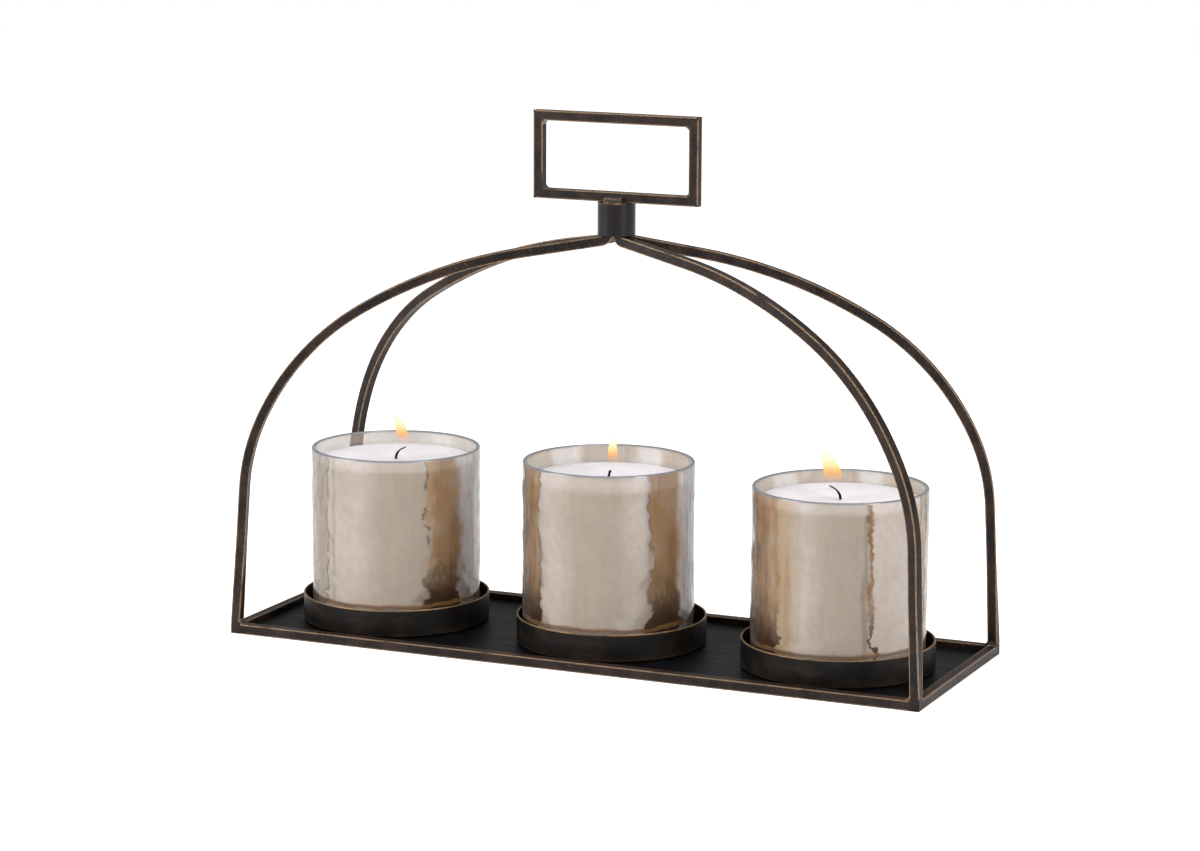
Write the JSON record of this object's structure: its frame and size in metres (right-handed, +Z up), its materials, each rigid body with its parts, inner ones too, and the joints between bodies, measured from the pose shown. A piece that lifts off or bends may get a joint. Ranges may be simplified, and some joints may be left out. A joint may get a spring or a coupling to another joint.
{
  "type": "triple candle holder",
  "caption": "Long tray stand of square iron bar with arched legs and a looped top handle, holding pillar candles in lustre glass tumblers set in shallow pans.",
  "frame": {"origin": "under the middle of the tray, on the underside of its rails", "axes": "+X along the tray, -Y the front, +Z up"},
  "size_m": [0.47, 0.1569, 0.3409],
  "materials": {
    "bronzed_iron": "dark bronze lacquer rubbed back along the edges",
    "bronzed_sheet": "satin blackened sheet",
    "bronzed_pan": "brown-black lacquer with a rubbed rim",
    "lustre_glass": "hammered, amber metallic lustre",
    "wax": "smooth paraffin wax",
    "wick": "burnt braided cotton"
  },
  "bodies": {
    "frame": {"front_rail": "bronzed_iron", "right_rail": "bronzed_iron", "back_rail": "bronzed_iron", "left_rail": "bronzed_iron", "front_left_leg": "bronzed_iron", "front_right_leg": "bronzed_iron", "back_right_leg": "bronzed_iron", "back_left_leg": "bronzed_iron", "leg_welds": "bronzed_iron", "collar": "bronzed_iron", "handle_bottom_bar": "bronzed_iron", "handle_right_bar": "bronzed_iron", "handle_top_bar": "bronzed_iron", "handle_left_bar": "bronzed_iron", "handle_corner_welds": "bronzed_iron", "handle_seat_welds": "bronzed_iron", "tray_plate": "bronzed_sheet", "left_pan": "bronzed_pan", "middle_pan": "bronzed_pan", "right_pan": "bronzed_pan"},
    "left_glass": {"left_glass": "lustre_glass"},
    "left_candle": {"left_candle": "wax", "left_wick": "wick"},
    "middle_glass": {"middle_glass": "lustre_glass"},
    "middle_candle": {"middle_candle": "wax", "middle_wick": "wick"},
    "right_glass": {"right_glass": "lustre_glass"},
    "right_candle": {"right_candle": "wax", "right_wick": "wick"}
  },
  "joints": [
    {"name": "left_glass_lift", "type": "slide", "parent": "frame", "child": "left_glass", "axis": [0, 0, 1], "range_m": [0, 0.04]},
    {"name": "left_candle_lift", "type": "slide", "parent": "left_glass", "child": "left_candle", "axis": [0, 0, 1], "range_m": [0, 0.05]},
    {"name": "middle_glass_lift", "type": "slide", "parent": "frame", "child": "middle_glass", "axis": [0, 0, 1], "range_m": [0, 0.04]},
    {"name": "middle_candle_lift", "type": "slide", "parent": "middle_glass", "child": "middle_candle", "axis": [0, 0, 1], "range_m": [0, 0.05]},
    {"name": "right_glass_lift", "type": "slide", "parent": "frame", "child": "right_glass", "axis": [0, 0, 1], "range_m": [0, 0.04]},
    {"name": "right_candle_lift", "type": "slide", "parent": "right_glass", "child": "right_candle", "axis": [0, 0, 1], "range_m": [0, 0.05]}
  ]
}
